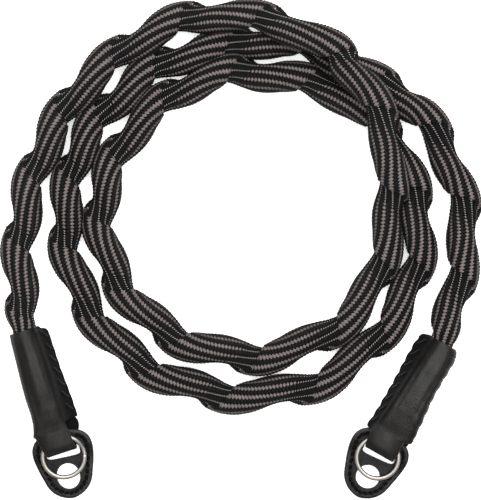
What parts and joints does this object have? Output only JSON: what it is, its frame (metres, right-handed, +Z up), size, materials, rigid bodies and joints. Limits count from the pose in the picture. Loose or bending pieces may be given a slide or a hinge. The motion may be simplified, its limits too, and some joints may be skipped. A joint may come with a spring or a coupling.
{
  "type": "coiled camera strap",
  "caption": "Curly woven cord strap lying in loops, with a leather sleeve at each end whose tab holds a split ring and a small leather pad with a slot and an oval hole.",
  "frame": {"origin": "on the surface that the strap lies on, under the middle of its outline", "axes": "+Z up from that surface; +Y from the leather ends towards the far side of the loops; +X to the right, seen from above"},
  "size_m": [0.152, 0.159, 0.0221],
  "materials": {
    "woven_cord": "matt woven",
    "sleeve_leather": "satin",
    "pad_leather": "satin",
    "ring_metal": "polished"
  },
  "bodies": {
    "root": {"cord": "woven_cord", "left_sleeve": "sleeve_leather", "right_sleeve": "sleeve_leather", "left_pad": "pad_leather", "right_pad": "pad_leather", "left_ring": "ring_metal", "right_ring": "ring_metal"}
  },
  "joints": []
}
